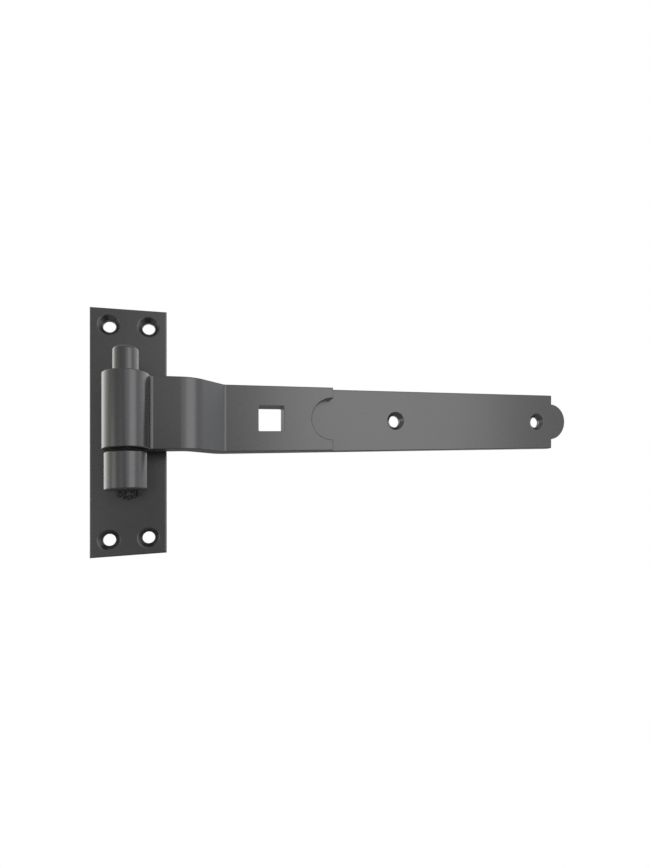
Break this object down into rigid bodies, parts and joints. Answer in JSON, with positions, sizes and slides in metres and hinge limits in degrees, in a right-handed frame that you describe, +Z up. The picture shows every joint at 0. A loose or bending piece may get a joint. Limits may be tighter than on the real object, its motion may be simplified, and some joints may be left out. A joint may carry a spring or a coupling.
{
  "type": "cranked hook and band hinge",
  "caption": "Cranked gate hinge: a folded steel band with an eye turns on an upright pin, held by a collar on a narrow screw plate.",
  "frame": {"origin": "centre of the plate's back face, where it lies against the post", "axes": "+Z up along the pin, +Y back into the post, +X along the band away from the pin"},
  "size_m": [0.325, 0.0381, 0.14],
  "materials": {
    "black_coating": "satin",
    "weld_coating": "rough"
  },
  "bodies": {
    "hook": {"back_plate": "black_coating", "pin_collar": "black_coating", "hook_pin": "black_coating", "collar_weld": "weld_coating"},
    "band": {"band": "black_coating"}
  },
  "joints": [
    {"name": "band_swing", "type": "hinge", "parent": "hook", "child": "band", "pos_m": [0, -0.02655, 0.0075], "axis": [0, 0, -1], "range_deg": [-22, 228]}
  ]
}
